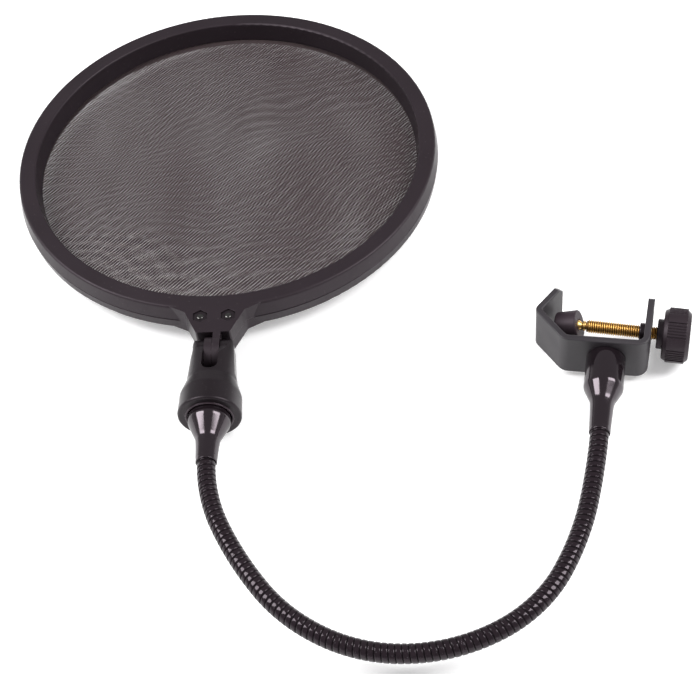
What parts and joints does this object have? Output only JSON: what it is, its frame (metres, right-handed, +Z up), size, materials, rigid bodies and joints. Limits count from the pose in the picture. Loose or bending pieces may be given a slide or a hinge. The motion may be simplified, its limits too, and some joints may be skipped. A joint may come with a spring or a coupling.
{
  "type": "pop filter",
  "caption": "Clamp-on microphone pop filter: round mesh hoop on a tilting fork, bendable gooseneck and V-jaw stand clamp with a thumb screw.",
  "frame": {"origin": "middle of the underside of the box round the whole object as it lies on a table", "axes": "+Z up, square to the hoop's mesh; +Y from the fork to the hoop; +X from the hoop's side to the clamp's side"},
  "size_m": [0.2576, 0.3131, 0.0229],
  "materials": {
    "hoop_plastic": "fine satin moulding",
    "fork_plastic": "fine satin moulding",
    "mesh_fabric": "open nylon weave",
    "black_steel": "black oxide",
    "plated_steel": "turned, plated",
    "sleeve_plastic": "glossy shrunk tube",
    "neck_steel": "semi-gloss black",
    "bracket_paint": "satin black powder coat",
    "screw_brass": "bright cut thread",
    "knob_plastic": "satin moulding",
    "pad_plastic": "matt moulding"
  },
  "bodies": {
    "bracket": {"clamp_bracket": "bracket_paint", "screw_bush": "black_steel", "fitting_screw": "black_steel", "lower_fitting": "plated_steel", "lower_sleeve": "sleeve_plastic", "neck_lower_tail": "neck_steel"},
    "pad": {"pressure_pad": "pad_plastic"},
    "thumb_screw": {"clamp_screw": "screw_brass", "knob": "knob_plastic"},
    "neck_8": {"neck_segment_8": "neck_steel"},
    "neck_7": {"neck_segment_7": "neck_steel"},
    "neck_6": {"neck_segment_6": "neck_steel"},
    "neck_5": {"neck_segment_5": "neck_steel"},
    "neck_4": {"neck_segment_4": "neck_steel"},
    "neck_3": {"neck_segment_3": "neck_steel"},
    "neck_2": {"neck_segment_2": "neck_steel"},
    "neck_1": {"neck_segment_1": "neck_steel"},
    "upper_end": {"upper_fitting": "plated_steel", "upper_sleeve": "sleeve_plastic", "neck_upper_tail": "neck_steel"},
    "fork": {"swivel_fork": "fork_plastic", "pivot_screw": "black_steel", "pivot_nut": "black_steel"},
    "hoop": {"front_hoop": "hoop_plastic", "rear_hoop": "hoop_plastic", "front_mesh": "mesh_fabric", "rear_mesh": "mesh_fabric", "mesh_ring": "hoop_plastic", "tab_screws": "black_steel", "tab_nuts": "black_steel"}
  },
  "joints": [
    {"name": "clamp_travel", "type": "slide", "parent": "bracket", "child": "pad", "axis": [0.9799, -0.1994, 0], "range_m": [0, 0.0198]},
    {"name": "knob_turn", "type": "hinge", "parent": "pad", "child": "thumb_screw", "pos_m": [0.11388, -0.02757, 0.01147], "axis": [0.9799, -0.1994, 0], "range_deg": [0, 8911]},
    {"name": "neck_bend_9", "type": "hinge", "parent": "bracket", "child": "neck_8", "pos_m": [0.09175, -0.0693, 0.01147], "axis": [0, 0, 1], "range_deg": [-4, 22]},
    {"name": "neck_bend_8", "type": "hinge", "parent": "neck_8", "child": "neck_7", "pos_m": [0.0858, -0.09792, 0.01147], "axis": [0, 0, 1], "range_deg": [-4, 22]},
    {"name": "neck_lift_7", "type": "hinge", "parent": "neck_7", "child": "neck_6", "pos_m": [0.07499, -0.12501, 0.01147], "axis": [-0.8746, 0.4848, 0], "range_deg": [-22, 22]},
    {"name": "neck_bend_6", "type": "hinge", "parent": "neck_6", "child": "neck_5", "pos_m": [0.0546, -0.14543, 0.01147], "axis": [0, 0, 1], "range_deg": [-4, 22]},
    {"name": "neck_bend_5", "type": "hinge", "parent": "neck_5", "child": "neck_4", "pos_m": [0.02669, -0.15322, 0.01147], "axis": [0, 0, 1], "range_deg": [-4, 22]},
    {"name": "neck_bend_4", "type": "hinge", "parent": "neck_4", "child": "neck_3", "pos_m": [-0.00148, -0.14677, 0.01147], "axis": [0, 0, 1], "range_deg": [-4, 22]},
    {"name": "neck_lift_3", "type": "hinge", "parent": "neck_3", "child": "neck_2", "pos_m": [-0.02347, -0.12786, 0.01147], "axis": [0.8039, 0.5948, 0], "range_deg": [-22, 22]},
    {"name": "neck_bend_2", "type": "hinge", "parent": "neck_2", "child": "neck_1", "pos_m": [-0.03826, -0.1027, 0.01147], "axis": [0, 0, 1], "range_deg": [-4, 22]},
    {"name": "neck_bend_1", "type": "hinge", "parent": "neck_1", "child": "upper_end", "pos_m": [-0.04439, -0.07434, 0.01147], "axis": [0, 0, 1], "range_deg": [-4, 22]},
    {"name": "fork_swivel", "type": "hinge", "parent": "upper_end", "child": "fork", "pos_m": [-0.04439, -0.05684, 0.01147], "axis": [0, 1, 0], "range_deg": [-180, 180]},
    {"name": "hoop_tilt", "type": "hinge", "parent": "fork", "child": "hoop", "pos_m": [-0.04439, -0.02934, 0.01147], "axis": [1, 0, 0], "range_deg": [-65, 50]}
  ],
  "couplings": [
    {"joint": "knob_turn", "follows": "clamp_travel", "rad_per_m": 7854}
  ]
}
